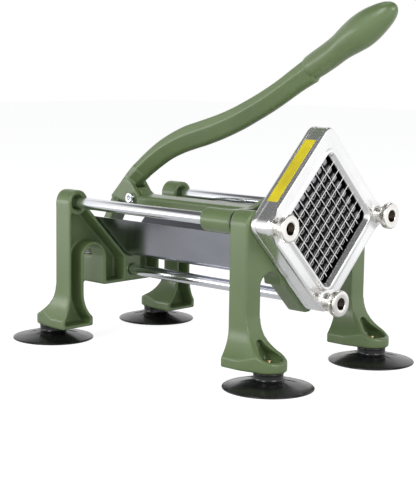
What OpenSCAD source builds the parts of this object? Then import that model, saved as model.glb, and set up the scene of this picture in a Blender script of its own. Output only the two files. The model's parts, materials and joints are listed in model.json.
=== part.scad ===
// French fry cutter: a lever drives a carriage along two rods and pushes the food through a blade grid.
// +Z is up, the blade head is at -Y and z = 0 is the bench under the suction cups.

/* [Layout] */
// Distance of each rod from the corners of the opening, seen from the front
rod_gap = 13.93; // [13.2:0.01:15]
// Height of the centre line of the blade head above the bench
head_z = 138; // [132:1:150]
// Distance from the middle of the machine to the open rim of each frame
frame_y = 103.2; // [95:0.2:125]
// Depth of each frame casting from its open rim to its closed face
frame_depth = 20.3; // [18:0.1:24]
// Distance of the axis of each suction cup outside the open rim of its frame
foot_out = 38; // [34:0.2:56]

/* [Frames] */
// Radius of the casting round the end of each upper rod
boss_r = 12.1; // [11:0.1:13]
// Distance from the inner side of each leg to the axis of its rod
leg_in = 7.2; // [5:0.1:9.2]
// Thickness of the casting walls round each hollow
frame_wall = 3.2; // [2.5:0.1:4]
// Thickness of the closed face
frame_web = 4; // [3:0.5:6]
// Depth of each rod boss below the open rim
boss_recess = 5; // [3:0.5:8]
// Gap between the sides of the opening and the sides of the V cradle
cradle_gap = 4.8; // [4:0.1:6]
// Distance of the arch centres from the rods, towards the middle
arch_in = 20.2; // [19.4:0.1:21.2]
// Depth of the arch centres below the centre line of the head
arch_drop = 57; // [54:1:61]
// Radius of the arches between the legs and the middle
arch_r = 14; // [13:0.5:14.5]
// Depth of the front cradle's lower sides below its V, where they would meet
keel_drop = 23; // [21:0.5:25]
// Depth of the flat underside of the front cradle below the lower rod
keel_flat_drop = 12.3; // [10.5:0.1:13.5]
// Distance from the side of the box under the rear cradle to the axis of the upper rod
box_in = 34; // [32:0.2:36]
// Depth of the underside of that box below the lower rod
box_drop = 11.8; // [9.6:0.1:13.6]
// Half of the width of the solid block round the lower rod
core_half = 11; // [9.5:0.5:13]

/* [Feet] */
// Height of the underside of the foot pads, which stand on the cups
pad_z = 14.8; // [13:0.2:19]
// Thickness of the vertical edge of the pads
pad_edge = 8.8; // [6:0.2:10]
// Half of the width of each foot at the rim
foot_half = 19.5; // [19:0.5:22]
// Radius of the rounded end of each foot
foot_end_r = 16; // [14.5:0.5:18]
// How far the front feet stand outside the rods
front_foot_shift = 1.8; // [0:0.2:3]
// How far the rear feet stand outside the rods
rear_foot_shift = 0; // [0:0.2:3]
// Radius of the rounded top of the scooped pocket
pocket_tip_r = 5.5; // [4:0.5:7]
// Height above the pads at which the legs start to flare outwards
flare_rise = 26; // [22:1:30]
// Height above the pads at which the legs start to flare forwards
toe_rise = 38; // [32:1:44]
// Height of the floor of the scooped pocket above the underside of the pad
pocket_rise = 5.5; // [4:0.5:7]
// Radius of the scooped pocket round the stud
pocket_r = 12; // [10:0.5:13]
// Height of the top of the pocket above the underside of the pad
pocket_h = 25; // [20:1:30]

/* [Suction cups] */
// Radius of the rim of each cup
cup_r = 39.6; // [36:0.2:42]
// Radius of the neck under the foot
cup_neck_r = 12.8; // [11:0.2:14]
// Height of the neck under the foot
cup_neck_h = 7.5; // [6:0.5:9]
// Thickness of the rubber at the rim
cup_rim = 1.2; // [0.8:0.1:2]
// Height of the hollow under the middle of the cup
cup_hollow = 5; // [3:0.5:6]
// Number of radial ribs on each cup
cup_ribs = 8; // [4:1:12]
// Radius of the studs
stud_r = 2.4; // [2:0.1:3]
// Length of the studs that shows in the pockets
stud_out = 4; // [1.5:0.5:6.5]

/* [Rods] */
// Radius of the rods
rod_r = 5.5; // [5:0.1:6]
// Radius of the front studs under the thumb nuts
rod_stud_r = 4.9; // [4.4:0.1:5.2]
// Distance from the front face of the blade head to the end of the studs
rod_stud_out = 9; // [8:0.5:13]
// Radius of the rear ends under the hexagon nuts
rod_tail_r = 4; // [3:0.5:4.5]
// Radius of the washers behind the rear frame
washer_r = 7.5; // [6.5:0.5:8]
// Thickness of those washers
washer_t = 1; // [0.6:0.2:2]
// Width across the corners of the hexagon nuts
hex_nut_d = 13; // [11:0.5:13.5]
// Thickness of the hexagon nuts
hex_nut_t = 3; // [2.5:0.5:6]

/* [Blade head] */
// Number of cells along each side of the grid
cells = 8; // [6:1:10]
// Distance between neighbouring blades
cell_pitch = 10.3; // [9.9:0.1:10.6]
// Width of the head's frame round the opening
head_rim = 19.3; // [18.6:0.1:20.4]
// Corner radius of the head
head_corner_r = 10; // [7:0.5:13]
// Thickness of the back plate
back_plate_t = 5.5; // [4:0.5:8]
// Thickness of the front cover
cover_t = 14.8; // [13:0.2:18]
// Height of the raised lip round the opening
lip_h = 1.4; // [0.8:0.2:2]
// Width of that lip
lip_w = 5; // [2:0.5:6]
// Corner radius of the opening
opening_corner_r = 5; // [3:0.5:7]
// Depth of each blade along the way of the food
blade_depth = 4.2; // [3.8:0.1:4.6]
// Thickness of the blades
blade_t = 0.8; // [0.5:0.1:1]
// Distance from the face of the cover back to the front blades
blade_inset = 1.5; // [1:0.1:2]
// Length of each blade end that is held in the cover
blade_grip = 5; // [3:0.5:7]
// Length of the sticker on the side of the cover
sticker_l = 70.7; // [60:0.1:76]
// Distance of the sticker's middle from the middle of the side, towards the top
sticker_up = 3.8; // [0:0.2:8]
// Width of that sticker
sticker_w = 11; // [8:0.5:12]
// Thickness of that sticker
sticker_t = 0.3; // [0.2:0.1:0.5]

/* [Thumb nuts] */
// Radius of the knurled flange
nut_r = 12; // [10.5:0.5:13]
// Thickness of that flange
nut_flange_t = 6.6; // [5:0.2:8]
// Radius of the neck
nut_neck_r = 7; // [6.5:0.1:8]
// Length of each thumb nut
nut_len = 15.2; // [14.5:0.1:17]
// Radius of the ring at the foot of the neck
nut_base_r = 8.3; // [8:0.1:9]
// Thickness of that ring
nut_base_t = 1.8; // [1:0.2:2.5]

/* [Trough] */
// Thickness of the sheet
sheet_t = 1.5; // [1:0.1:2]
// Outer bend radius at the bottom of the V
trough_bend_r = 18; // [15:0.5:19]
// Depth of the upper edges of the sheet below the centre line of the head
trough_drop = 15; // [11.2:0.1:18]
// Length of the sheet behind the rear frame
trough_out = 2.5; // [1:0.5:6]
// Radius of the two screws in the bottom
trough_screw_r = 2; // [1.5:0.5:2.5]
// Length of those screws under the sheet
trough_screw_len = 7; // [4:0.5:7.5]

/* [Carriage] */
// Radius of the sleeves on the rods
sleeve_r = 10.5; // [10:0.1:11.5]
// Length of the sleeves
sleeve_len = 35; // [25:1:45]
// Outer radius of the liners in the sleeves
liner_r = 7.2; // [6.8:0.1:7.6]
// Thickness of the flange in front of each sleeve
liner_flange_t = 2; // [1:0.2:3]
// Half of the width of the arm
arm_half = 14; // [12:0.5:15]
// Height of the top of the arm above the rods
arm_rise = 4.7; // [3.7:0.1:5.2]
// Height of the arm itself
arm_h = 14; // [12:0.5:14.5]
// Radius of the arm's upper edges
arm_edge_r = 3; // [1:0.5:6]
// Distance from the middle at which the cross web starts to rise
shoulder_out_x = 50; // [40:1:58]
// Distance from the middle at which that rise ends
shoulder_in_x = 24; // [18:1:30]
// Height of the cross web's middle above the rods
shoulder_rise = 19; // [12:1:22]
// Thickness of the cross web
yoke_t = 9; // [7:0.5:12]
// Radius of the round pad that carries the pusher
yoke_pad_r = 24; // [20:1:27]

/* [Pusher] */
// Thickness of the backing plate
pusher_plate_t = 3; // [2:0.5:5]
// How much smaller the backing plate is than the opening
plate_inset = 6.4; // [4:0.2:20]
// Thickness of the solid part of the block
block_base_t = 14; // [12:0.5:14.5]
// Distance from the front blades' edge back to the face of the fingers
finger_inset = 4.4; // [3.8:0.1:5]
// Gap between neighbouring fingers
finger_gap = 1.6; // [1.4:0.1:2]
// Side of the square dimple in each finger
dimple_side = 4.4; // [3:0.2:5]
// Depth of those dimples
dimple_depth = 0.8; // [0.4:0.1:1.5]
// Corner radius of the block
block_corner_r = 8; // [7:0.5:10]

/* [Lever] */
// Way of the carriage for each radian of swing, as a share of the radius of the lever's foot
push_share = 0.929; // [0.921:0.002:0.937]
// Distance from the hub bolt to the open rim of the rear frame
hub_in = 10.2; // [9.2:0.2:14]
// Height of the hub bolt above the rods
hub_rise = 1.5; // [1.2:0.1:2.4]
// Distance of the foot of the lever behind the hub
foot_back = 59; // [57:0.5:63]
// Depth of the foot of the lever below the hub
foot_down = 61.5; // [60:0.5:64]
// Reach of the lever forward from the hub to its tip
lever_reach = 300; // [260:2:320]
// Rise of the lever from the hub to its tip
lever_rise = 183; // [151:2:201]
// Width of the lever
lever_w = 21; // [19:0.5:22]
// Depth of the lever where it leaves the hub
lever_depth_low = 14; // [12:0.5:16]
// Depth of the lever at its knee
lever_depth_knee = 22.3; // [20:0.1:25]
// Depth of the lever in front of the knee
lever_depth_top = 18.4; // [16:0.2:21]
// Width of the narrow underside of the lever
lever_keel_w = 9; // [7:0.5:12]
// Diameter of the grip at its narrow part
grip_neck_d = 23.2; // [21:0.2:25]
// Diameter of the bulb of the grip
grip_bulb_d = 29.5; // [26:0.5:34]
// Radius of the rounded cheeks round the hub bolt
cheek_r = 8; // [7.5:0.5:9]
// Thickness of each cheek
cheek_t = 5; // [4:0.5:5.5]
// Half of the width over both cheeks
cheek_half = 11; // [11:0.5:12.5]
// Radius of the arm's rounded end between the cheeks
tongue_r = 10; // [9:0.5:10.5]
// Radius of the hub bolt
hub_bolt_r = 3; // [2.5:0.5:3.5]
// Radius of the head of the hub bolt
hub_head_r = 5; // [4.5:0.5:6]
// Thickness of that head
hub_head_t = 5; // [4:0.5:6]
// Outer radius of the bearing in the arm's end
hub_bush_r = 4.6; // [4.2:0.1:5.5]
// Thickness of the lower arm of the lever
shank_t = 10; // [9:0.5:12]
// Radius of the boss at the foot of the lever
heel_r = 9; // [8:0.5:9.5]
// Half of the length of that boss
heel_half = 15; // [12:0.5:20]
// Radius of the lower pin
lower_pin_r = 4; // [3.5:0.5:4.5]
// Thickness of the clips on the lower pin
clip_t = 1.2; // [0.8:0.2:2]
// Radius of those clips
clip_r = 8.6; // [8:0.2:9]

/* [Rear lugs] */
// Thickness of each lug
lug_t = 4.5; // [4:0.5:6]
// Rise of the lug's upper edge above the rest place of the pin
lug_above = 9; // [8.5:0.5:12]
// Depth of the lug's lower edge below the lowest place of the pin
lug_below = 9; // [8.5:0.5:12]
// Play of the pin on each side of it in the middle of the slot
slot_play = 2; // [1.95:0.05:3]
// Wall at the rear end of the lug behind the slot
lug_rear_wall = 5.6; // [4:0.2:8]

/* [Fits] */
// Radial clearance of running fits
running_gap = 0.06; // [0.03:0.01:0.1]
// Gap between faces that pass each other
face_gap = 0.3; // [0.2:0.05:0.5]
// Radial clearance of fixed pieces in their holes
fixed_gap = 0.05; // [0:0.01:0.1]

/* [Hidden] */
// Names of all sub-parts
// Overrun of every cut past the face it opens
over = 1;
// Smoothness of round shapes
$fn = 96;
root2 = sqrt(2);

opening_side = cells * cell_pitch;
rod_reach = opening_side / root2 + rod_gap;
rod_low_z = head_z - rod_reach;
head_side = opening_side + 2 * head_rim;
leg_outer_x = rod_reach + boss_r;
leg_inner_x = rod_reach - leg_in;
face_y = frame_y + frame_depth;
cradle_z = head_z - (opening_side / 2 + cradle_gap) * root2;
arch_x = rod_reach - arch_in;
arch_z = head_z - arch_drop;
keel_z = cradle_z - keel_drop;
keel_flat_z = rod_low_z - keel_flat_drop;
box_half = rod_reach - box_in;
box_low_z = rod_low_z - box_drop;
trough_top_z = head_z - trough_drop;
trough_rear_y = face_y + trough_out;
foot_y = frame_y + foot_out;
back_y = -face_y;
cover_back_y = back_y - back_plate_t;
cover_y = cover_back_y - cover_t;
boss_face_y = cover_y - lip_h;
blade_front_y = cover_y + blade_inset;
blade_mid_y = blade_front_y + blade_depth;
blade_rear_y = blade_mid_y + blade_depth;
foot_end_y = foot_y + foot_end_r;
pad_top_z = pad_z + pad_edge;
flare_z = pad_top_z + flare_rise;
toe_z = pad_top_z + toe_rise;
pocket_z = pad_z + pocket_rise;
pocket_top_z = pad_z + pocket_h;
stud_top_z = pocket_z + stud_out;
cup_neck_z = pad_z - cup_neck_h;
arm_top_z = head_z + arm_rise;
arm_low_z = arm_top_z - arm_h;
carriage_y = -frame_y + running_gap * 3;
sleeve_front_y = carriage_y + liner_flange_t;
pad_front_y = -frame_y - face_gap;
block_y = pad_front_y - pusher_plate_t;
finger_y = blade_front_y + finger_inset;
pusher_plate_side = opening_side - plate_inset;
hub_y = frame_y - hub_in;
hub_z = head_z + hub_rise;
heel_y = hub_y + foot_back;
heel_z = hub_z - foot_down;
foot_reach = norm([foot_back, foot_down]);
half_swing = atan2(foot_back, foot_down) * PI / 180;
slot_y = hub_y + half_swing * push_share * foot_reach;
slot_half = lower_pin_r + slot_play;
heel_low_z = hub_z - foot_reach;
tongue_half = cheek_half - cheek_t - face_gap;
// Height of the inside of the trough at its lowest line
trough_floor_z = cradle_z + trough_bend_r * (root2 - 1) + sheet_t;
// Radius of screw heads as a multiple of the screw's radius
screw_head_share = 1.7;
// Share of the pad's radius at which the pusher's screws stand
pusher_screw_share = 0.75;
pusher_screw_r = trough_screw_r;
// Where the four screws hold the back plate, on the middles of its sides
cover_screw_offset = (opening_side / 2 + blade_grip + head_side / 2) / 2;
cover_screw_r = trough_screw_r;
cover_head_t = cover_screw_r;
chrome = [0.8, 0.81, 0.84];
nickel = [0.76, 0.74, 0.7];
steel = [0.66, 0.67, 0.69];
green = [0.43, 0.52, 0.34];
black = [0.06, 0.06, 0.07];

// Extrudes a drawing of the front view between two y places
module slab(y_low, y_high) {
    translate([0, y_high, 0]) rotate([90, 0, 0]) linear_extrude(y_high - y_low) children();
}

// Extrudes a drawing of the side view, y to the right, between two x places
module side_slab(x_low, x_high) {
    translate([x_low, 0, 0]) rotate([90, 0, 90]) linear_extrude(x_high - x_low) children();
}

// A cylinder along y through a place of the front view
module bar_y(r, y_low, y_high, x, z) {
    translate([x, y_high, z]) rotate([90, 0, 0]) cylinder(r = r, h = y_high - y_low);
}

// A cylinder along x through a place of the side view
module bar_x(r, x_low, x_high, y, z) {
    translate([x_low, y, z]) rotate([0, 90, 0]) cylinder(r = r, h = x_high - x_low);
}

module rounded_square(side, r) {
    square([side, side - 2 * r], center = true);
    square([side - 2 * r, side], center = true);
    for (sx = [-1, 1], sy = [-1, 1])
        translate([sx, sy] * (side / 2 - r)) circle(r);
}

// Places a square of the head with its corners up, down and sideways
module on_point() {
    translate([0, head_z]) rotate(45) children();
}

// A V with a round bottom, open upwards
module vee(apex_z, bend_r, top_z) {
    tangent_x = bend_r / root2;
    polygon([
        [apex_z - top_z, top_z], [-tangent_x, apex_z + tangent_x],
        [tangent_x, apex_z + tangent_x], [top_z - apex_z, top_z]
    ]);
    translate([0, apex_z + bend_r * root2]) circle(bend_r);
}

// Where the three rods stand in the front view
rod_places = [[-rod_reach, head_z], [rod_reach, head_z], [0, rod_low_z]];

// The solid middle that stays between the legs, inset by a wall
module core_plan(inset, boxed) {
    if (boxed) {
        translate([-(box_half - inset), box_low_z + inset])
            square([2 * (box_half - inset), arch_z + arch_r - box_low_z]);
    } else {
        low_z = keel_flat_z + inset;
        apex_z = keel_z + inset * root2;
        high_z = arch_z + arch_r + frame_wall;
        polygon([
            [-(high_z - apex_z), high_z], [-max(low_z - apex_z, over / 2), low_z],
            [max(low_z - apex_z, over / 2), low_z], [high_z - apex_z, high_z]
        ]);
    }
}

// Distance of the middle of a foot from the middle of the machine
function foot_x(boxed) = rod_reach + (boxed ? rear_foot_shift : front_foot_shift);

// Sides of one leg down to the pad, inset by a wall
module leg_plan(inset, boxed) {
    flare_h = flare_z - pad_top_z;
    out_step = foot_x(boxed) + foot_half - leg_outer_x;
    in_step = leg_inner_x - (foot_x(boxed) - foot_half);
    out_r = (out_step * out_step + flare_h * flare_h) / (2 * out_step);
    in_r = (in_step * in_step + flare_h * flare_h) / (2 * in_step);
    difference() {
        translate([foot_x(boxed) - foot_half + inset, pad_z + inset])
            square([2 * (foot_half - inset), head_z - pad_z - inset]);
        translate([leg_outer_x + out_r, flare_z]) circle(out_r + inset, $fn = 192);
        translate([leg_inner_x - in_r, flare_z]) circle(in_r + inset, $fn = 192);
        translate([leg_outer_x - inset, flare_z]) square([foot_half, head_z]);
        translate([leg_inner_x + inset - foot_half, flare_z]) square([foot_half, head_z]);
    }
}

// Front view of one casting, inset by a wall
module casting_plan(inset, boxed) {
    for (side = [-1, 1]) scale([side, 1]) leg_plan(inset, boxed);
    difference() {
        translate([-(leg_outer_x - inset), flare_z])
            square([2 * (leg_outer_x - inset), head_z - flare_z]);
        vee(cradle_z - (inset + face_gap) * root2, trough_bend_r, head_z + over);
        difference() {
            union() {
                translate([-(leg_inner_x + inset), 0])
                    square([2 * (leg_inner_x + inset), arch_z]);
                for (side = [-1, 1])
                    translate([side * arch_x, arch_z]) circle(arch_r + inset);
            }
            core_plan(inset, boxed);
        }
    }
    for (side = [-1, 1]) translate([side * rod_reach, head_z]) circle(boss_r - inset);
}

// Outline of one foot seen from above, rim at y = 0
module foot_top_plan(boxed) {
    reach = foot_y - frame_y;
    translate([foot_x(boxed), 0]) {
        polygon([
            [-foot_half, over], [foot_half, over], [foot_half, -frame_depth],
            [foot_end_r, -reach], [-foot_end_r, -reach], [-foot_half, -frame_depth]
        ]);
        translate([0, -reach]) circle(foot_end_r);
    }
}

// Side view of one foot in front of the closed face, rim at y = 0
module foot_side_plan() {
    step = foot_end_y - face_y;
    rise = toe_z - pad_top_z;
    r = (step * step + rise * rise) / (2 * step);
    difference() {
        translate([-(foot_end_y - frame_y), pad_z])
            square([foot_end_y - frame_y - frame_web, toe_z - pad_z]);
        translate([-(frame_depth + r), toe_z]) circle(r, $fn = 192);
    }
}

// Front view of the scooped pocket, narrowing to a rounded top
module pocket_plan() {
    tip_z = pocket_top_z - pocket_tip_r;
    polygon([
        [-pocket_r, pocket_z], [pocket_r, pocket_z], [pocket_r, pocket_z + pocket_r / 2],
        [pocket_tip_r, tip_z], [-pocket_tip_r, tip_z], [-pocket_r, pocket_z + pocket_r / 2]
    ]);
    translate([0, tip_z]) circle(pocket_tip_r);
}

// The toe of one foot with its scooped pocket
module toe(boxed) {
    reach = foot_y - frame_y;
    outer_x = leg_outer_x + foot_half;
    difference() {
        intersection() {
            slab(-(foot_end_y - frame_y), -frame_web) leg_plan(0, boxed);
            side_slab(0, outer_x) foot_side_plan();
            linear_extrude(toe_z) foot_top_plan(boxed);
        }
        intersection() {
            translate([foot_x(boxed), -reach, pocket_z]) {
                cylinder(r = pocket_r, h = toe_z);
                translate([-pocket_r, 0, 0]) cube([2 * pocket_r, reach, toe_z]);
            }
            side_slab(0, outer_x) polygon([
                [-(foot_end_y - frame_y), pocket_z], [-(frame_depth + frame_web), pocket_z],
                [-(frame_depth + over), pocket_top_z], [-(frame_depth + over), toe_z],
                [-(foot_end_y - frame_y), toe_z]
            ]);
            slab(-(foot_end_y - frame_y), -frame_web) translate([foot_x(boxed), 0]) pocket_plan();
        }
        translate([foot_x(boxed), -reach, 0]) cylinder(r = stud_r + fixed_gap, h = toe_z);
    }
}

// One casting with its rim at y = 0 and its closed face towards -y
module casting(boxed) {
    difference() {
        union() {
            slab(-frame_depth, 0) casting_plan(0, boxed);
            for (side = [-1, 1]) mirror([side < 0 ? 1 : 0, 0, 0]) toe(boxed);
        }
        slab(-frame_depth + frame_web, over) difference() {
            casting_plan(frame_wall, boxed);
            for (side = [-1, 1]) translate([side * rod_reach, head_z]) circle(boss_r);
            translate([-core_half, 0]) square([2 * core_half, head_z]);
        }
        for (side = [-1, 1])
            bar_y(boss_r - frame_wall / 2, -boss_recess, over, side * rod_reach, head_z);
        for (place = rod_places)
            bar_y(rod_r + fixed_gap, -frame_depth + frame_web, over, place[0], place[1]);
        translate([0, -frame_depth / 2, cradle_z - over])
            cylinder(r = trough_screw_r + fixed_gap, h = trough_bend_r);
    }
}

module front_frame() {
    color(green) difference() {
        translate([0, -frame_y, 0]) casting(false);
        for (place = rod_places)
            bar_y(rod_r + fixed_gap, -face_y - over, -frame_y, place[0], place[1]);
    }
}

// Side view of one rear lug with the slot for the lower pin
module lug_plan() {
    root_y = face_y + frame_web * 3;
    high_z = heel_z + lug_above;
    low_z = heel_low_z - lug_below;
    front_y = slot_y - slot_half - lug_rear_wall;
    end_y = slot_y + slot_half + lug_rear_wall;
    cut = lug_rear_wall / 2;
    slot_r = lower_pin_r;
    slot_top_z = heel_z + slot_r + face_gap;
    slot_low_z = heel_low_z - slot_r - face_gap;
    difference() {
        polygon([
            [face_y - over, arch_z], [root_y, arch_z], [front_y, high_z],
            [end_y - cut, high_z], [end_y, high_z - cut], [end_y, low_z + cut],
            [end_y - cut, low_z], [front_y + cut, low_z], [root_y, box_low_z],
            [face_y - over, box_low_z]
        ]);
        translate([slot_y - slot_half, slot_low_z + slot_r])
            square([2 * slot_half, slot_top_z - slot_low_z - 2 * slot_r]);
        translate([slot_y - slot_half + slot_r, slot_low_z])
            square([2 * (slot_half - slot_r), slot_top_z - slot_low_z]);
        for (sy = [-1, 1], z = [slot_low_z + slot_r, slot_top_z - slot_r])
            translate([slot_y + sy * (slot_half - slot_r), z]) circle(slot_r);
    }
}

module rear_frame() {
    color(green) {
        difference() {
            mirror([0, 1, 0]) translate([0, -frame_y, 0]) casting(true);
            for (place = rod_places)
                bar_y(rod_tail_r + fixed_gap, frame_y, face_y + over, place[0], place[1]);
        }
        for (side = [-1, 1]) mirror([side < 0 ? 1 : 0, 0, 0])
            side_slab(box_half - lug_t, box_half) lug_plan();
    }
}

// One rod: front stud, shank, and a thinner rear end
module rod(place) {
    x = place[0];
    z = place[1];
    tail_y = face_y + washer_t + hex_nut_t + rod_tail_r / 2;
    color(chrome) {
        bar_y(rod_stud_r, boss_face_y - rod_stud_out, cover_back_y, x, z);
        bar_y(rod_r, cover_back_y, face_y - frame_web, x, z);
        bar_y(rod_tail_r, face_y - frame_web, tail_y, x, z);
    }
}

module rod_upper_left() { rod(rod_places[0]); }
module rod_upper_right() { rod(rod_places[1]); }
module rod_lower() { rod(rod_places[2]); }

module rod_end_washers() {
    color(steel) for (place = rod_places) difference() {
        bar_y(washer_r, face_y, face_y + washer_t, place[0], place[1]);
        bar_y(rod_tail_r + fixed_gap, face_y - over, face_y + washer_t + over, place[0], place[1]);
    }
}

module rod_end_nuts() {
    low_y = face_y + washer_t;
    color(steel) for (place = rod_places) difference() {
        translate([place[0], low_y + hex_nut_t, place[1]]) rotate([90, 0, 0])
            cylinder(d = hex_nut_d, h = hex_nut_t, $fn = 6);
        bar_y(rod_tail_r + fixed_gap, low_y - over, low_y + hex_nut_t + over, place[0], place[1]);
    }
}

module trough() {
    color(chrome) difference() {
        slab(-face_y, trough_rear_y) difference() {
            vee(cradle_z, trough_bend_r, trough_top_z);
            vee(cradle_z + sheet_t * root2, trough_bend_r - sheet_t, trough_top_z + over);
        }
        for (end = [-1, 1]) translate([0, end * (frame_y + frame_depth / 2), 0]) {
            translate([0, 0, cradle_z]) cylinder(r = trough_screw_r + fixed_gap, h = trough_bend_r);
            translate([0, 0, trough_floor_z])
                cylinder(r = trough_screw_r * screw_head_share + fixed_gap, h = trough_bend_r);
        }
    }
}

module trough_screws() {
    color(steel) for (end = [-1, 1])
        translate([0, end * (frame_y + frame_depth / 2), trough_floor_z]) {
            cylinder(r = trough_screw_r * screw_head_share, h = trough_screw_r / 2);
            translate([0, 0, -trough_screw_len]) cylinder(r = trough_screw_r, h = trough_screw_len);
        }
}

// Circles round the four screws, grown by a clearance
module cover_screw_plan(share, gap) {
    on_point() for (turn = [0 : 3]) rotate(turn * 90)
        translate([cover_screw_offset, 0]) circle(cover_screw_r * share + gap);
}

module blade_back_plate() {
    color(nickel) difference() {
        slab(cover_back_y, back_y) on_point() difference() {
            rounded_square(head_side, head_corner_r);
            rounded_square(opening_side + lip_w, opening_corner_r + lip_w / 2);
        }
        slab(cover_back_y - over, back_y) cover_screw_plan(1, fixed_gap);
        slab(back_y - cover_head_t, back_y + over) cover_screw_plan(screw_head_share, fixed_gap);
        for (place = rod_places)
            bar_y(rod_r + fixed_gap, cover_back_y - over, back_y + over, place[0], place[1]);
    }
}

// Bars in place of one set of blades, grown by a clearance
module blade_set(y_low, y_high, gap, turn) {
    len = opening_side + 2 * blade_grip + 2 * gap;
    for (i = [1 : cells - 1])
        slab(y_low, y_high) on_point() rotate(turn)
            translate([(i - cells / 2) * cell_pitch - blade_t / 2 - gap, -len / 2])
                square([blade_t + 2 * gap, len]);
}

module blade_cover() {
    boss_d = (nut_base_r + lip_h) * 2;
    color(nickel) difference() {
        union() {
            slab(cover_y, cover_back_y) on_point() rounded_square(head_side, head_corner_r);
            slab(boss_face_y, cover_y) on_point()
                rounded_square(opening_side + 2 * lip_w, opening_corner_r + lip_w);
            for (place = rod_places)
                bar_y(boss_d / 2, boss_face_y, cover_y + over, place[0], place[1]);
        }
        slab(boss_face_y - over, cover_back_y + over) on_point()
            rounded_square(opening_side, opening_corner_r);
        for (place = rod_places)
            bar_y(rod_stud_r + fixed_gap, boss_face_y - over, cover_back_y + over,
                  place[0], place[1]);
        blade_set(blade_front_y - fixed_gap, cover_back_y + over, fixed_gap, 90);
        blade_set(blade_mid_y - fixed_gap, cover_back_y + over, fixed_gap, 0);
        slab(cover_back_y - cover_t / 2, cover_back_y + over) cover_screw_plan(1, fixed_gap);
    }
}

module blades_front_set() {
    color(steel) blade_set(blade_front_y, blade_mid_y - fixed_gap, 0, 90);
}

module blades_rear_set() {
    color(steel) blade_set(blade_mid_y, blade_rear_y - fixed_gap, 0, 0);
}

module cover_screws() {
    head_y = back_y - cover_head_t;
    color(steel) {
        slab(cover_back_y - cover_t / 2 + fixed_gap, head_y) cover_screw_plan(1, 0);
        slab(head_y, back_y - face_gap) cover_screw_plan(screw_head_share, 0);
    }
}

module side_sticker() {
    mid_y = (cover_y + back_y) / 2;
    color([0.93, 0.84, 0.12]) translate([0, mid_y, head_z]) rotate([0, -45, 0])
        translate([sticker_up - sticker_l / 2, -sticker_w / 2, head_side / 2])
            cube([sticker_l, sticker_w, sticker_t]);
}

// Knurled flange, neck and foot ring, turned round the stud
module thumb_nut(place) {
    edge = lip_h / 2;
    base_y = boss_face_y - face_gap;
    bore_r = rod_stud_r + running_gap;
    color(nickel) translate([place[0], base_y, place[1]]) rotate([90, 0, 0]) rotate_extrude()
        polygon([
            [bore_r, 0], [nut_base_r, 0], [nut_base_r, nut_base_t], [nut_neck_r, nut_base_t],
            [nut_neck_r, nut_len - nut_flange_t], [nut_r - edge, nut_len - nut_flange_t],
            [nut_r, nut_len - nut_flange_t + edge], [nut_r, nut_len - edge],
            [nut_r - edge, nut_len], [bore_r, nut_len]
        ]);
}

module thumb_nut_left() { thumb_nut(rod_places[0]); }
module thumb_nut_right() { thumb_nut(rod_places[1]); }
module thumb_nut_bottom() { thumb_nut(rod_places[2]); }

// Round rubber cup with a neck and radial ribs on its back
module suction_cup(x, y) {
    flat_w = cup_rim * 2;
    slope = atan2(cup_neck_z - cup_rim, cup_r - cup_neck_r);
    rib_len = (cup_r - cup_neck_r) * 0.55;
    color(black) translate([x, y, 0]) difference() {
        union() {
            rotate_extrude() polygon([
                [0, cup_hollow], [cup_neck_r, cup_hollow], [cup_r - flat_w, 0], [cup_r, 0],
                [cup_r, cup_rim], [cup_neck_r, cup_neck_z], [cup_neck_r, pad_z], [0, pad_z]
            ]);
            for (i = [0 : cup_ribs - 1]) rotate(i * 360 / cup_ribs)
                translate([cup_neck_r, 0, cup_neck_z]) rotate([0, slope, 0])
                    translate([-cup_rim, -cup_rim / 2, -cup_rim])
                        cube([rib_len, cup_rim, cup_rim * 2]);
        }
        translate([0, 0, cup_neck_z]) cylinder(r = stud_r + fixed_gap, h = pad_z);
    }
}

module suction_cup_front_left() { suction_cup(-foot_x(false), -foot_y); }
module suction_cup_front_right() { suction_cup(foot_x(false), -foot_y); }
module suction_cup_rear_left() { suction_cup(-foot_x(true), foot_y); }
module suction_cup_rear_right() { suction_cup(foot_x(true), foot_y); }

module cup_studs() {
    color([0.72, 0.6, 0.36]) for (sx = [-1, 1], sy = [-1, 1])
        translate([sx * foot_x(sy > 0), sy * foot_y, cup_neck_z])
            cylinder(r = stud_r, h = stud_top_z - cup_neck_z);
}

// Front view of the cross web, which rises towards the middle
module yoke_plan() {
    polygon([
        [-rod_reach, arm_low_z], [rod_reach, arm_low_z], [rod_reach, head_z + sleeve_r],
        [shoulder_out_x, head_z + sleeve_r], [shoulder_in_x, head_z + shoulder_rise],
        [-shoulder_in_x, head_z + shoulder_rise], [-shoulder_out_x, head_z + sleeve_r],
        [-rod_reach, head_z + sleeve_r]
    ]);
}

// Cross-section of the arm with its upper edges rounded
module arm_plan() {
    flat_half = arm_half - arm_edge_r;
    translate([-arm_half, arm_low_z]) square([2 * arm_half, arm_h - arm_edge_r]);
    translate([-flat_half, arm_low_z]) square([2 * flat_half, arm_h]);
    for (side = [-1, 1]) translate([side * flat_half, arm_top_z - arm_edge_r]) circle(arm_edge_r);
}

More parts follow.
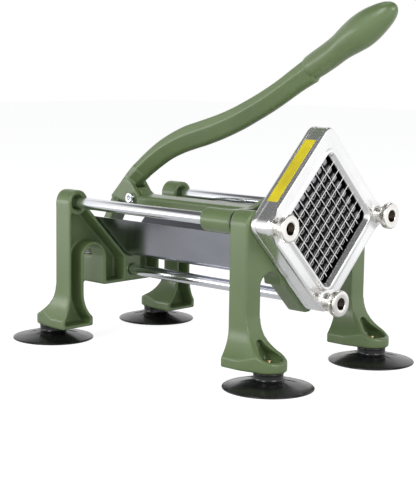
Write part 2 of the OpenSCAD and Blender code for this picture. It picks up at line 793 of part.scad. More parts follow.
// Sleeves, cross web and the long arm with its tongue
module carriage() {
    shoulder_y = hub_y - cheek_r - running_gap * 12;
    chamfer = arm_h / 3;
    sleeve_rear_y = sleeve_front_y + sleeve_len;
    color(green) difference() {
        union() {
            for (place = [rod_places[0], rod_places[1]])
                bar_y(sleeve_r, sleeve_front_y, sleeve_rear_y, place[0], place[1]);
            slab(sleeve_front_y, sleeve_front_y + yoke_t) yoke_plan();
            bar_y(yoke_pad_r, pad_front_y, sleeve_front_y + yoke_t, 0, head_z);
            intersection() {
                side_slab(-arm_half, arm_half) polygon([
                    [sleeve_front_y, arm_low_z], [shoulder_y - chamfer, arm_low_z],
                    [shoulder_y, arm_low_z + chamfer], [shoulder_y, arm_top_z],
                    [sleeve_front_y, arm_top_z]
                ]);
                slab(sleeve_front_y, shoulder_y) arm_plan();
            }
            side_slab(-tongue_half, tongue_half) {
                translate([hub_y, hub_z]) circle(tongue_r);
                translate([shoulder_y - over, hub_z - tongue_r])
                    square([hub_y - shoulder_y + over, arm_top_z - hub_z + tongue_r]);
            }
        }
        for (place = [rod_places[0], rod_places[1]])
            bar_y(liner_r + fixed_gap, sleeve_front_y - over, sleeve_rear_y + over,
                  place[0], place[1]);
        bar_x(hub_bush_r + fixed_gap, -tongue_half - over, tongue_half + over, hub_y, hub_z);
        slab(pad_front_y - over, sleeve_front_y + yoke_t + over) pusher_screw_plan(fixed_gap);
    }
}

module sleeve_bush(place) {
    color(black) difference() {
        union() {
            bar_y(liner_r, sleeve_front_y, sleeve_front_y + sleeve_len, place[0], place[1]);
            bar_y(sleeve_r - face_gap, carriage_y, sleeve_front_y, place[0], place[1]);
        }
        bar_y(rod_r + running_gap, carriage_y - over, sleeve_front_y + sleeve_len + over,
              place[0], place[1]);
    }
}

module sleeve_bush_left() { sleeve_bush(rod_places[0]); }
module sleeve_bush_right() { sleeve_bush(rod_places[1]); }

// The four screws that hold the block, grown by a clearance
module pusher_screw_plan(gap) {
    translate([0, head_z]) for (turn = [0 : 3]) rotate(turn * 90)
        translate([yoke_pad_r * pusher_screw_share, 0]) circle(pusher_screw_r + gap);
}

module pusher_plate() {
    color(steel) slab(block_y, pad_front_y) difference() {
        on_point() rounded_square(pusher_plate_side, block_corner_r);
        pusher_screw_plan(fixed_gap);
    }
}

// Eight by eight fingers on a solid base, a dimple in each face
module pusher_block() {
    finger = cell_pitch - finger_gap;
    groove_y = block_y - block_base_t;
    span = opening_side - finger_gap;
    color(black) difference() {
        slab(finger_y, block_y) on_point() rounded_square(span, block_corner_r);
        for (turn = [0, 90], i = [1 : cells - 1])
            slab(finger_y - over, groove_y) on_point() rotate(turn)
                translate([(i - cells / 2) * cell_pitch - finger_gap / 2, -span])
                    square([finger_gap, 2 * span]);
        for (i = [0 : cells - 1], j = [0 : cells - 1])
            slab(finger_y - over, finger_y + dimple_depth) on_point()
                translate([i - (cells - 1) / 2, j - (cells - 1) / 2] * cell_pitch)
                    square(dimple_side, center = true);
        slab(block_y - block_base_t / 2, block_y + over) pusher_screw_plan(fixed_gap);
    }
}

module pusher_screws() {
    head_y = sleeve_front_y + yoke_t;
    color(steel) {
        slab(block_y - block_base_t / 2 + fixed_gap, head_y) pusher_screw_plan(0);
        slab(head_y, head_y + pusher_screw_r)
            pusher_screw_plan(pusher_screw_r * (screw_head_share - 1));
    }
}

module hub_bush() {
    color([0.7, 0.55, 0.3]) difference() {
        bar_x(hub_bush_r, -tongue_half, tongue_half, hub_y, hub_z);
        bar_x(hub_bolt_r + running_gap, -tongue_half - over, tongue_half + over, hub_y, hub_z);
    }
}

// Spine of the lever from the hub to the tip: shares of its reach forward and of its rise
spine_shares = [
    [-0.092, -0.022], [-0.057, 0.032], [-0.033, 0.080], [-0.003, 0.125], [0.031, 0.168],
    [0.077, 0.221], [0.126, 0.270], [0.179, 0.311], [0.289, 0.371], [0.396, 0.429],
    [0.493, 0.498], [0.583, 0.574], [0.665, 0.656], [0.700, 0.693], [0.738, 0.734],
    [0.815, 0.812], [0.852, 0.850], [0.889, 0.887], [0.925, 0.924], [0.961, 0.960],
    [0.990, 0.987], [1.000, 1.000]
];
// Depth of the section at each of those places
spine_depths = [
    for (share = [0.786, 0.871, 1, 1.11]) share * lever_depth_low,
    for (share = [0.752, 0.809, 0.861, 0.926, 1, 0.93, 0.87]) share * lever_depth_knee,
    for (share = [1.01, 0.98]) share * lever_depth_top,
    for (share = [0.927, 1, 1.02]) share * grip_neck_d,
    for (share = [0.919, 0.997, 0.932, 0.742, 0.458, 0.169]) share * grip_bulb_d
];
// How many of those places, counted from the hub, have flat sides; the others are round
flat_places = 13;
spine_round_shares = [for (i = [0 : len(spine_shares) - 1]) i < flat_places ? 0 : 1];
ring_n = 12;
// How far along the spine its direction is taken, in places
look_ahead = 0.05;
// Direction in which the front edge of the cheeks leaves the boss
web_angle = 43;
// Share of the bar's depth that the cheeks cover
web_share = 0.8;
// Share of the bar's depth below its spine at which that edge ends
crotch_share = 0.4;
// Which point of each ring is the middle of the underside
ring_keel = 5;

function spine_place(i) =
    [hub_y - spine_shares[i][0] * lever_reach, hub_z + spine_shares[i][1] * lever_rise];

// A smooth curve through the values of a list, at a place between two of them
function curve_at(list, t) =
    let (n = len(list) - 1, i = min(floor(t), n - 1), f = t - i,
         a = list[max(i - 1, 0)], b = list[i], c = list[i + 1], d = list[min(i + 2, n)])
    b + f * (c - a) / 2 + f * f * (a - 2.5 * b + 2 * c - d / 2)
      + f * f * f * (3 * (b - c) + d - a) / 2;

// Half section with flat sides and a narrow underside, as places for twelve points
function flat_ring(depth) =
    let (w = lever_w / 2, k = lever_keel_w / 2, h = depth / 2, e = lever_w / 10)
    [[w - e, h], [w, h - e], [w, 0], [k + e, e - h], [k, -h], [0, -h],
     [-k, -h], [-k - e, e - h], [-w, 0], [-w, h - e], [e - w, h], [0, h]];

// Round section with its points in the same order
round_ring_shares = [60, 30, 0, -30, -60, -90, -120, -150, -180, -210, -240, -270];
function round_ring(depth) =
    [for (angle = round_ring_shares) depth / 2 * [cos(angle), sin(angle)]];

// One ring of the lever's skin round the spine
function lever_ring(t, places, depths, roundness) =
    let (ahead = curve_at(places, min(t + look_ahead, len(places) - 1)),
         behind = curve_at(places, max(t - look_ahead, 0)),
         along = (ahead - behind) / norm(ahead - behind),
         centre = curve_at(places, t),
         depth = curve_at(depths, t),
         share = min(max(curve_at(roundness, t), 0), 1),
         flat = flat_ring(depth), full = round_ring(depth))
    [for (i = [0 : ring_n - 1])
        let (p = flat[i] * (1 - share) + full[i] * share)
        [p[0], centre[0] + along[1] * p[1], centre[1] - along[0] * p[1]]];

module lever_bar() {
    places = [for (i = [0 : len(spine_shares) - 1]) spine_place(i)];
    steps = 2;
    count = (len(places) - 1) * steps + 1;
    rings = [for (s = [0 : count - 1])
        lever_ring(s / steps, places, spine_depths, spine_round_shares)];
    skin = [for (ring = rings) for (p = ring) p];
    sides = [for (s = [0 : count - 2], i = [0 : ring_n - 1])
        let (j = (i + 1) % ring_n, a = s * ring_n, b = a + ring_n)
        each [[a + i, a + j, b + j], [a + i, b + j, b + i]]];
    fan = [for (i = [0 : ring_n - 1]) (i + ring_keel) % ring_n];
    last = (count - 1) * ring_n;
    low_cap = [for (i = [1 : ring_n - 2]) [fan[0], fan[i + 1], fan[i]]];
    high_cap = [for (i = [1 : ring_n - 2]) [last + fan[0], last + fan[i], last + fan[i + 1]]];
    polyhedron(points = skin, faces = concat(sides, low_cap, high_cap));
}

// Side view of the cheeks: a boss round the hub bolt and a web up to the bar and back to the shank
module cheek_plan() {
    back = spine_place(0);
    high = spine_place(2);
    crotch = (high + spine_place(3)) / 2;
    lean = atan2(high[1] - back[1], high[0] - back[0]);
    half_t = lever_depth_low / 2;
    across = half_t * [sin(lean), -cos(lean)];
    translate([hub_y, hub_z]) circle(cheek_r);
    polygon([
        [hub_y - cheek_r * cos(web_angle), hub_z + cheek_r * sin(web_angle)],
        crotch - across * crotch_share, high + across * web_share, back + across * web_share,
        [hub_y + cheek_r / 2, hub_z - cheek_r * sqrt(3) / 2]
    ]);
}

// Side view of the lower arm from the bar down to its heel
module shank_plan() {
    top = spine_place(1);
    mid = spine_place(0);
    lean = atan2(heel_z - mid[1], heel_y - mid[0]);
    across = shank_t / 2 * [-sin(lean), cos(lean)];
    heel = [heel_y, heel_z];
    polygon([top + across, mid + across, heel + across, heel - across, mid - across, top - across]);
}

module lever() {
    shank_half = lever_w / 2 - lever_w / 20;
    color(green) difference() {
        union() {
            lever_bar();
            side_slab(-shank_half, shank_half) shank_plan();
            bar_x(heel_r, -heel_half, heel_half, heel_y, heel_z);
            for (side = [-1, 1]) mirror([side < 0 ? 1 : 0, 0, 0])
                side_slab(cheek_half - cheek_t, cheek_half) cheek_plan();
        }
        bar_x(lower_pin_r + fixed_gap, -heel_half - over, heel_half + over, heel_y, heel_z);
        bar_x(hub_bolt_r + fixed_gap, -cheek_half - over, cheek_half + over, hub_y, hub_z);
    }
}

module hub_bolt() {
    socket_d = hub_head_r * 1.1;
    color(chrome) difference() {
        union() {
            bar_x(hub_bolt_r, -cheek_half, cheek_half + hub_head_t, hub_y, hub_z);
            bar_x(hub_head_r, -cheek_half - hub_head_t, -cheek_half, hub_y, hub_z);
        }
        translate([-cheek_half - hub_head_t - over, hub_y, hub_z]) rotate([0, 90, 0])
            cylinder(d = socket_d, h = hub_head_t / 2 + over, $fn = 6);
    }
}

module hub_nut() {
    color(steel) difference() {
        translate([cheek_half, hub_y, hub_z]) rotate([0, 90, 0])
            cylinder(r = hub_head_r * 1.15, h = hub_head_t * 0.9, $fn = 6);
        bar_x(hub_bolt_r + fixed_gap, cheek_half - over, cheek_half + hub_head_t + over,
              hub_y, hub_z);
    }
}

module lower_pin() {
    pin_half = box_half + face_gap + 2 * clip_t;
    color(steel) bar_x(lower_pin_r, -pin_half, pin_half, heel_y, heel_z);
}

module pin_clips() {
    low_x = box_half + face_gap;
    color(steel) for (side = [-1, 1]) mirror([side < 0 ? 1 : 0, 0, 0]) difference() {
        bar_x(clip_r, low_x, low_x + clip_t, heel_y, heel_z);
        bar_x(lower_pin_r + fixed_gap, low_x - over, low_x + clip_t + over, heel_y, heel_z);
    }
}

front_frame();
rear_frame();
rod_upper_left();
rod_upper_right();
rod_lower();
rod_end_washers();
rod_end_nuts();
trough();
trough_screws();
blade_back_plate();
blade_cover();
blades_front_set();
blades_rear_set();
cover_screws();
side_sticker();
thumb_nut_left();
thumb_nut_right();
thumb_nut_bottom();
suction_cup_front_left();
suction_cup_front_right();
suction_cup_rear_left();
suction_cup_rear_right();
cup_studs();
carriage();
sleeve_bush_left();
sleeve_bush_right();
pusher_plate();
pusher_block();
pusher_screws();
hub_bush();
lever();
hub_bolt();
hub_nut();
lower_pin();
pin_clips();
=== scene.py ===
import json
import math

import bmesh
import bpy
from mathutils import Matrix, Vector


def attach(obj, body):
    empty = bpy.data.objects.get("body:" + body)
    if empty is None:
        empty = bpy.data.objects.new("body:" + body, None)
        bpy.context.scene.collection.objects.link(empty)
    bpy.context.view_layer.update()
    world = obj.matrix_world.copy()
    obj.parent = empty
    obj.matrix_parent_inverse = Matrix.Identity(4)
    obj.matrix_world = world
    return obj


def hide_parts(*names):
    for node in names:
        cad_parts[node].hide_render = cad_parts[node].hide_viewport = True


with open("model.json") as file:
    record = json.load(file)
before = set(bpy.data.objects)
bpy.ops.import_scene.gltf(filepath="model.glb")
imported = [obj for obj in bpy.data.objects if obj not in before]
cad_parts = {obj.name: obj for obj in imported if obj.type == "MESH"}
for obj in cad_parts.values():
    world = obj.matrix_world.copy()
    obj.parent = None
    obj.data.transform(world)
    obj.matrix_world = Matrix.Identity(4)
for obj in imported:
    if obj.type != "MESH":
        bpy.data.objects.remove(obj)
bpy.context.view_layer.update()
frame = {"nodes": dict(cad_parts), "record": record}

nodes_by_name = frame["nodes"]

# Lengths are in mm where nothing else is said; this turns them into metres
MM = 0.001

# ---------------------------------------------------------------- sizes of the construction

HEAD_Z = 138.0
HEAD_HALF = 60.5
HEAD_CORNER = 10.0
OPENING_HALF = 41.2
OPENING_CORNER = 5.0
PITCH = 10.3
CELLS = 8
# How far the three rods stand from the middle of the head
ROD_REACH = 72.19
ROD_PLACES = {"left": (-ROD_REACH, HEAD_Z), "right": (ROD_REACH, HEAD_Z),
              "bottom": (0, HEAD_Z - ROD_REACH)}
# Where the thumb nuts begin, which is also where the rods' threaded ends are painted dark as the
# shade inside the nuts, and over what length that fades
STUD_Y = -145.5
STUD_FADE = 0.5

# ---------------------------------------------------------------- node trees


class Nodes:
    """A node tree, and the short ways to add to it and to join it up."""

    def __init__(self, tree):
        self.tree = tree
        tree.nodes.clear()

    def add(self, kind, **settings):
        node = self.tree.nodes.new(kind)
        for key, value in settings.items():
            setattr(node, key, value)
        return node

    def join(self, source, output, target, socket):
        self.tree.links.new(source.outputs[output], target.inputs[socket])

    def feed(self, target, socket, value):
        """Sets an input to a value, or leads another node's output into it."""
        if isinstance(value, bpy.types.NodeSocket):
            self.tree.links.new(value, target.inputs[socket])
        else:
            target.inputs[socket].default_value = value

    def ramp(self, source, low, high, low_at=0.3, high_at=0.7, **settings):
        """Maps a number between two places to one between two others."""
        ramp = self.add("ShaderNodeMapRange", **settings)
        for socket, value in (("Value", source), ("From Min", low_at), ("From Max", high_at),
                              ("To Min", low), ("To Max", high)):
            self.feed(ramp, socket, value)
        return ramp.outputs[0]

    def larger(self, first, second):
        node = self.add("ShaderNodeMath", operation="MAXIMUM")
        self.feed(node, 0, first)
        self.feed(node, 1, second)
        return node.outputs[0]

    def seen_directly(self):
        """1 for what the camera, gloss and glass look at, 0 for the light that falls on things."""
        path = self.add("ShaderNodeLightPath").outputs
        return self.larger(self.larger(path["Is Camera Ray"], path["Is Glossy Ray"]),
                           path["Is Transmission Ray"])

    def choose(self, factor, first, second):
        """One shader at 0 and the other at 1."""
        choice = self.add("ShaderNodeMixShader")
        for socket, value in enumerate((factor, first, second)):
            self.feed(choice, socket, value)
        return choice


# ---------------------------------------------------------------- finishes


# How far two normals agree, their own and that of a rounded edge: at an edge and on a flat
AT_EDGE, ON_FLAT = 0.9, 0.999
EDGE_SAMPLES = 6
# How much paler than its plastic a pad is painted, as a reflection on its flat top
PAD_SHARE = 34


def scaled(colour, share):
    return tuple(min(1.0, c * share) for c in colour)


class Finish(Nodes):
    """One material with its shader, and the looks that several finishes share."""

    def __init__(self, name, colour, metallic=0.0, roughness=0.4, **sockets):
        self.material = bpy.data.materials.new(name)
        self.material.use_nodes = True
        super().__init__(self.material.node_tree)
        self.colour, self.roughness = colour, roughness
        self.normal = None
        self.skin = self.add("ShaderNodeBsdfPrincipled")
        self.join(self.skin, 0, self.add("ShaderNodeOutputMaterial"), 0)
        self.place = self.add("ShaderNodeTexCoord")
        self.set("Base Color", (*colour, 1))
        self.set("Metallic", metallic)
        self.set("Roughness", roughness)
        for socket, value in sockets.items():
            self.set(socket.replace("_", " "), value)

    def set(self, socket, value):
        self.feed(self.skin, socket, value)

    def noise(self, scale, stretch=(1, 1, 1), detail=3.0):
        """Noise on the object's own coordinates, in lumps per metre."""
        mapping = self.add("ShaderNodeMapping")
        self.feed(mapping, "Scale", stretch)
        self.join(self.place, "Object", mapping, "Vector")
        noise = self.add("ShaderNodeTexNoise")
        self.feed(noise, "Scale", scale)
        self.feed(noise, "Detail", detail)
        self.join(mapping, 0, noise, "Vector")
        return noise.outputs[0]

    def mark(self, name):
        """A value that was written on the mesh; 0 where there is none."""
        return self.add("ShaderNodeAttribute", attribute_name=name).outputs["Fac"]

    def tint(self, factor, first, second):
        """A colour between two, each three numbers or another node's output."""
        mix = self.add("ShaderNodeMix", data_type="RGBA")
        self.feed(mix, 0, factor)
        for socket, value in ((6, first), (7, second)):
            self.feed(mix, socket, (*value, 1) if isinstance(value, tuple) else value)
        return mix.outputs[2]

    def cloudy(self, scale, dark, pale):
        """The colour in soft clouds, between two shares of itself."""
        return self.tint(self.ramp(self.noise(scale), 0, 1), scaled(self.colour, dark),
                         scaled(self.colour, pale))

    def worn_and_highlit(self, body, radius, most, bright):
        """The body's colour, going over to a brighter one along the edges of the piece: partly
        edge wear, partly a painted highlight.
        """
        bevel = self.add("ShaderNodeBevel", samples=EDGE_SAMPLES)
        self.feed(bevel, "Radius", radius * MM)
        dot = self.add("ShaderNodeVectorMath", operation="DOT_PRODUCT")
        self.join(bevel, 0, dot, 0)
        self.join(self.add("ShaderNodeNewGeometry"), "Normal", dot, 1)
        edge = self.ramp(dot.outputs["Value"], most, 0, AT_EDGE, ON_FLAT)
        return self.tint(edge, body, scaled(self.colour, bright))

    def uneven(self, grain, less, more):
        self.set("Roughness", self.ramp(grain, self.roughness - less, self.roughness + more))

    def bump(self, source, height, distance):
        """Adds a relief of this height share on top of the reliefs so far."""
        bump = self.add("ShaderNodeBump")
        self.feed(bump, "Strength", height)
        self.feed(bump, "Distance", distance * MM)
        self.feed(bump, "Height", source)
        if self.normal is not None:
            self.feed(bump, "Normal", self.normal)
        self.normal = bump.outputs[0]
        self.set("Normal", self.normal)


def cast_paint(name, colour):
    """Satin enamel on a sand casting: soft orange peel, paler on its edges from wear and a painted
    highlight.
    """
    f = Finish(name, colour, roughness=0.33, Coat_Weight=0.25, Coat_Roughness=0.16)
    f.set("Base Color", f.worn_and_highlit(f.cloudy(22, 0.93, 1.07), 1.2, 0.35, 1.5))
    f.uneven(f.noise(140), 0.02, 0.09)
    f.bump(f.noise(650, detail=2), 0.12, 0.2)
    f.bump(f.noise(60, detail=1), 0.10, 0.6)
    return f.material


def drawn_metal(name, colour, roughness, stretch, scratch, spread=0.06):
    """Metal with fine lines along the axis that is stretched."""
    f = Finish(name, colour, metallic=1.0, roughness=roughness)
    lines = f.noise(900, stretch, 4)
    f.uneven(lines, spread, spread)
    # Edges paler from wear and a painted highlight
    f.set("Base Color", f.worn_and_highlit(f.cloudy(30, 0.94, 1.03), 0.5, 0.5, 1.15))
    f.bump(lines, scratch, 0.05)
    return f.material


def cast_metal(name, colour, roughness):
    """Polished plate with a fine grain and edges paler from wear and a painted highlight; inside
    its opening a painted shade, a flat, slightly darker colour on the slope and almost black
    further in.
    """
    f = Finish(name, colour, metallic=1.0, roughness=roughness)
    grain = f.noise(1500, detail=2)
    f.uneven(grain, 0.05, 0.06)
    outside = f.worn_and_highlit(f.cloudy(35, 0.95, 1.02), 0.8, 0.5, 1.12)
    inside = f.mark("inside")
    # Painted shade inside the opening: a flat, slightly darker colour on the slope, almost black
    # further in
    slope = f.tint(f.ramp(inside, 0, 1, 0, 0.5), outside, scaled(colour, 0.95))
    f.set("Base Color", f.tint(f.ramp(inside, 0, 1, 0.5, 1), slope, scaled(colour, 0.04)))
    f.bump(grain, 0.015, 0.05)
    return f.material


def nickel_plate(name, colour, roughness, bore_shade_colour):
    """Bright plating, its edges paler from wear and a painted highlight, with a dark brownish
    painted shade in the threaded bore, marked on the mesh.
    """
    f = Finish(name, colour, metallic=1.0, roughness=roughness)
    grain = f.noise(1200, detail=2)
    f.uneven(grain, 0.04, 0.05)
    plating = f.worn_and_highlit(f.cloudy(60, 0.94, 1.03), 0.4, 0.5, 1.12)
    f.set("Base Color", f.tint(f.mark("bore"), plating, bore_shade_colour))
    f.bump(grain, 0.05, 0.04)
    return f.material


def rod_plate(name, colour, roughness, stud_shade_colour):
    """Chromed bar, ground along its length, its threaded front ends inside the thumb nuts painted
    dark brownish as shade.
    """
    f = Finish(name, colour, metallic=1.0, roughness=roughness)
    lines = f.noise(700, (1, 0.02, 1), 4)
    f.uneven(lines, 0.02, 0.03)
    split = f.add("ShaderNodeSeparateXYZ")
    f.join(f.place, "Object", split, 0)
    end = f.ramp(split.outputs["Y"], 1, 0, (STUD_Y - STUD_FADE) * MM, STUD_Y * MM)
    f.set("Base Color", f.tint(end, f.cloudy(25, 0.96, 1.02), stud_shade_colour))
    f.bump(lines, 0.03, 0.04)
    return f.material


def blade_plate(name, colour, roughness):
    """Mirror-rolled strip; the front edge, marked on the mesh, is ground: rougher and less
    metallic, and painted pale as a highlight.
    """
    f = Finish(name, colour, metallic=1.0, roughness=roughness)
    lines = f.noise(900, detail=4)
    ground = f.mark("ground")
    f.set("Metallic", f.ramp(ground, 1.0, 0.15, 0, 1))
    f.set("Roughness", f.ramp(ground, roughness, 0.38, 0, 1))
    body = f.tint(f.ramp(lines, 0, 1), scaled(colour, 0.92), scaled(colour, 1.04))
    # The ground front edge is painted pale as a highlight
    f.set("Base Color", f.tint(ground, body, scaled(colour, 1.25)))
    f.bump(lines, 0.04, 0.04)
    return f.material


def moulded(name, colour, roughness, grain_scale, grain):
    """Rubber or plastic out of a mould, with a fine skin and edges paler from wear and a painted
    highlight; marked pads are painted pale as a reflection.
    """
    f = Finish(name, colour, roughness=roughness)
    f.uneven(f.noise(90), 0.05, 0.08)
    body = f.worn_and_highlit(f.cloudy(40, 0.85, 1.2), 0.6, 0.5, 2.2)
    f.set("Base Color", f.tint(f.mark("polished"), body, scaled(colour, PAD_SHARE)))
    f.bump(f.noise(grain_scale), grain, 0.08)
    return f.material


EVEN, ALONG_Y = (1, 1, 1), (1, 0.02, 1)
# The dark last colours of rod_chrome and nut_nickel are painted shade inside the thumb nuts
FINISHES = {
    "green_paint": cast_paint("sage_enamel", (0.146, 0.210, 0.086)),
    "rod_chrome": rod_plate("rod_chrome", (0.84, 0.86, 0.90), 0.15, (0.12, 0.10, 0.075)),
    "plain_steel": drawn_metal("turned_steel", (0.60, 0.60, 0.61), 0.28, EVEN, 0.08),
    "sheet_steel": drawn_metal("rolled_sheet", (0.43, 0.44, 0.50), 0.22, ALONG_Y, 0.03, 0.02),
    "head_metal": cast_metal("satin_casting", (0.95, 0.95, 0.955), 0.28),
    "blade_steel": blade_plate("ground_blade", (0.76, 0.755, 0.74), 0.20),
    "nut_nickel": nickel_plate("nickel_plate", (0.88, 0.86, 0.82), 0.17, (0.055, 0.042, 0.03)),
    "yellow_film": moulded("yellow_film", (0.80, 0.66, 0.02), 0.42, 700, 0.04),
    "black_rubber": moulded("gloss_rubber", (0.009, 0.009, 0.010), 0.20, 400, 0.02),
    "black_plastic": moulded("block_plastic", (0.012, 0.012, 0.013), 0.30, 800, 0.03),
    "stud_brass": drawn_metal("stud_brass", (0.62, 0.48, 0.26), 0.30, EVEN, 0.05),
}
for row in frame["record"]["subparts"]:
    for place in nodes_by_name[row["node"]].material_slots:
        place.material = FINISHES[row["material_slot"]]

# ---------------------------------------------------------------- making pieces


def put_in(name, data):
    """A new object in the scene."""
    thing = bpy.data.objects.new(name, data)
    bpy.context.scene.collection.objects.link(thing)
    return thing


def settle(name, mesh, body, slot, node):
    """Puts a finished mesh in for a CAD node, as a piece that rides on a body."""
    mesh.name = name
    mesh.materials.clear()
    mesh.materials.append(FINISHES[slot])
    piece = put_in(name, mesh)
    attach(piece, body)
    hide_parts(node)


def evaluated(thing):
    """The plain mesh of an object after its modifiers; the object itself goes."""
    graph = bpy.context.evaluated_depsgraph_get()
    mesh = bpy.data.meshes.new_from_object(thing.evaluated_get(graph))
    bpy.data.objects.remove(thing)
    return mesh


def through(mesh, *steps):
    """The mesh after these modifiers, each a kind and its settings."""
    blank = put_in("blank", mesh)
    for kind, settings in steps:
        modifier = blank.modifiers.new(kind.lower(), kind)
        for key, value in settings.items():
            setattr(modifier, key, value)
    return evaluated(blank)


def as_mesh(shape):
    """A bmesh written out as a plain mesh."""
    mesh = bpy.data.meshes.new("shape")
    shape.to_mesh(mesh)
    shape.free()
    return mesh


def together(*meshes):
    """One mesh out of several."""
    shape = bmesh.new()
    for mesh in meshes:
        shape.from_mesh(mesh)
    return as_mesh(shape)


def node_mesh(name):
    """A copy of a CAD node's mesh, its doubles merged."""
    shape = bmesh.new()
    shape.from_mesh(nodes_by_name[name].data)
    bmesh.ops.remove_doubles(shape, verts=shape.verts, dist=0.01 * MM)
    return as_mesh(shape)


def skin(rings, loop=False):
    """Joins rings of equally many points; a loop closes from last to first."""
    shape = bmesh.new()
    rows = [[shape.verts.new(Vector(point) * MM) for point in ring] for ring in rings]
    pairs = list(zip(rows, rows[1:])) + ([(rows[-1], rows[0])] if loop else [])
    for low, high in pairs:
        for k in range(len(low)):
            shape.faces.new((low[k], low[k - 1], high[k - 1], high[k]))
    if not loop:
        shape.faces.new(rows[0])
        shape.faces.new(rows[-1])
    bmesh.ops.remove_doubles(shape, verts=shape.verts, dist=0.002 * MM)
    bmesh.ops.recalc_face_normals(shape, faces=shape.faces)
    return as_mesh(shape)


def turned(profile, steps=96, loop=False):
    """Turns a profile of radius and height round the Z axis."""
    turns = [2 * math.pi * k / steps for k in range(steps)]
    return skin([[(r * math.cos(a), r * math.sin(a), h) for a in turns] for r, h in profile], loop)


def moved(mesh, place=(0, 0, 0), turn=Matrix()):
    """Turns a mesh, then moves it to a place."""
    mesh.transform(Matrix.Translation(Vector(place) * MM) @ turn)
    return mesh


def marked(mesh, name, value_at):
    """Writes a value for each point, found from its place, that a finish reads."""
    mark = mesh.attributes.new(name, "FLOAT", "POINT")
    for vertex, value in zip(mesh.vertices, mark.data):
        value.value = value_at(vertex.co / MM)
    return mesh


def edged(mesh, angle=35):
    """Smooth shading that breaks at the sharp edges."""
    mesh.shade_smooth()
    mesh.set_sharp_from_angle(angle=math.radians(angle))
    return mesh


def cast(mesh, grain, rounds):
    """Softens every edge as a mould does, on a skin with this grain."""
    soft = through(mesh, ("REMESH", {"mode": "VOXEL", "voxel_size": grain * MM}),
                   ("SMOOTH", {"factor": 0.5, "iterations": rounds}))
    soft.shade_smooth()
    return soft


def dressed(mesh, width):
    """Joins the flat faces of a CAD node's copy and rounds its edges by this width."""
    shape = bmesh.new()
    shape.from_mesh(mesh)
    bmesh.ops.dissolve_limit(shape, angle_limit=math.radians(2), verts=shape.verts,
                             edges=shape.edges)
    return edged(through(as_mesh(shape), ("BEVEL", {
        "width": width * MM, "segments": 2, "limit_method": "ANGLE",
        "angle_limit": math.radians(35)})))


# Looks to -Y with what was up on Z; the second also stands on its point, as the head does
FACING = Matrix.Rotation(math.radians(90), 4, "X")
TO_HEAD = Matrix.Rotation(math.radians(-45), 4, "Y") @ FACING

# ---------------------------------------------------------------- rules for what repeats


class Rule(Nodes):
    """A geometry-node tree with named inputs that copies a shape by a rule."""

    def __init__(self, name, **sizes):
        super().__init__(bpy.data.node_groups.new(name, "GeometryNodeTree"))
        face = self.tree.interface
        face.new_socket("Geometry", in_out="OUTPUT", socket_type="NodeSocketGeometry")
        self.asked = self.add("NodeGroupInput")
        self.identifiers = {}
        for size, kind in {"Shape": "Object", "Material": "Material", **sizes}.items():
            socket = face.new_socket(size, in_out="INPUT", socket_type="NodeSocket" + kind)
            self.identifiers[size] = socket.identifier

    def ask(self, name, node, socket):
        self.join(self.asked, name, node, socket)

    def combine(self, operation, first, second):
        """Two numbers added, divided and so on; a name stands for an input of the rule."""
        node = self.add("ShaderNodeMath", operation=operation)
        for socket, value in enumerate((first, second)):
            self.feed(node, socket, self.asked.outputs[value] if isinstance(value, str) else value)
        return node.outputs[0]

    def copy_to(self, points):
        """Ends the tree: real copies of the shape with the asked material."""
        shape = self.add("GeometryNodeObjectInfo")
        copies = self.add("GeometryNodeInstanceOnPoints")
        real = self.add("GeometryNodeRealizeInstances")
        coat = self.add("GeometryNodeSetMaterial")
        self.ask("Shape", shape, "Object")
        self.ask("Material", coat, "Material")
        self.join(points, "Mesh", copies, "Points")
        self.join(shape, "Geometry", copies, "Instance")
        self.join(copies, "Instances", real, 0)
        self.join(real, 0, coat, "Geometry")
        self.join(coat, 0, self.add("NodeGroupOutput"), 0)
        return copies

    def made(self, shape, material, **sizes):
        """The copies of a shape as one plain mesh; lengths in metres."""
        pattern = put_in("pattern", shape)
        blank = put_in("blank", bpy.data.meshes.new("blank"))
        modifier = blank.modifiers.new("rule", "NODES")
        modifier.node_group = self.tree
        for name, value in {"Shape": pattern, "Material": material, **sizes}.items():
            modifier[self.identifiers[name]] = value
        result = evaluated(blank)
        bpy.data.objects.remove(pattern)
        return result


def lattice_rule():
    """Copies a shape to a grid of Across by Down places, Pitch apart."""
    rule = Rule("lattice", Across="Int", Down="Int", Pitch="Float")
    grid = rule.add("GeometryNodeMeshGrid")
    for count, axis in (("Across", "X"), ("Down", "Y")):
        gaps = rule.combine("SUBTRACT", count, 1)
        rule.feed(grid, f"Size {axis}", rule.combine("MULTIPLY", gaps, "Pitch"))
        rule.ask(count, grid, f"Vertices {axis}")
    rule.copy_to(grid)
    return rule


def wreath_rule():
    """Copies a shape to Count places on a circle of this Radius, turned with it."""
    rule = Rule("wreath", Count="Int", Radius="Float")
    circle = rule.add("GeometryNodeMeshCircle")
    rule.ask("Count", circle, "Vertices")
    rule.ask("Radius", circle, "Radius")
    index = rule.add("GeometryNodeInputIndex").outputs[0]
    angle = rule.combine("MULTIPLY", rule.combine("DIVIDE", index, "Count"), 2 * math.pi)
    spin = rule.add("ShaderNodeCombineXYZ")
    rule.feed(spin, "Z", angle)
    rule.join(spin, 0, rule.copy_to(circle), "Rotation")
    return rule


lattice, wreath = lattice_rule(), wreath_rule()

# ---------------------------------------------------------------- castings

settle("front_frame_casting", cast(node_mesh("front_frame"), 1.05, 7),
       "frame", "green_paint", "front_frame")

